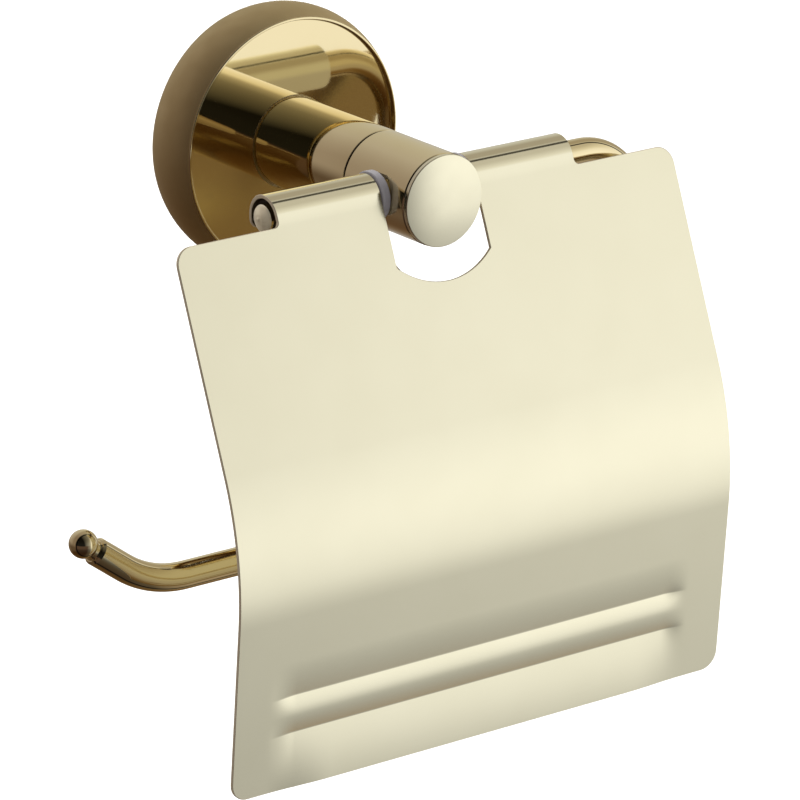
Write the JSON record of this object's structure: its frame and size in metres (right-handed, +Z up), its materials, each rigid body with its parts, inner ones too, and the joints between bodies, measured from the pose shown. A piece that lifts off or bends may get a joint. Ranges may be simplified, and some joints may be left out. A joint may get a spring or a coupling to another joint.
{
  "type": "toilet paper holder",
  "caption": "Wall-mounted toilet paper holder: round rosette, straight post, a bent rod open at one end to carry the roll, and a curved sheet lid that hinges on the rod.",
  "frame": {"origin": "centre of the wall plate's and rosette's back faces, on the wall", "axes": "+Y into the wall (the holder stands out along -Y), +X to the right as one faces the wall, +Z up"},
  "size_m": [0.1518, 0.0847, 0.143],
  "materials": {
    "satin_gold": "satin champagne gold",
    "polished_gold": "polished champagne gold",
    "satin_sheet": "satin champagne gold plating on sheet",
    "clear_plastic": "smoky translucent",
    "dark_plastic": "dark moulded",
    "steel": "zinc plated"
  },
  "bodies": {
    "holder": {"wall_plate": "steel", "rosette": "satin_gold", "rosette_grub_screw": "steel", "post_bolt": "steel", "post_lock_washer": "steel", "post": "polished_gold", "head_stud": "steel", "head": "satin_gold", "head_cap": "satin_gold", "rod_grub_screw": "steel", "roll_rod": "polished_gold", "spacer_left": "clear_plastic", "spacer_right": "clear_plastic"},
    "lid": {"lid": "satin_sheet", "hinge_sleeve_left": "dark_plastic", "hinge_sleeve_right": "dark_plastic"}
  },
  "joints": [
    {"name": "lid_hinge", "type": "hinge", "parent": "holder", "child": "lid", "pos_m": [0, -0.056, 0.0005], "axis": [-1, 0, 0], "range_deg": [-18, 185]}
  ]
}
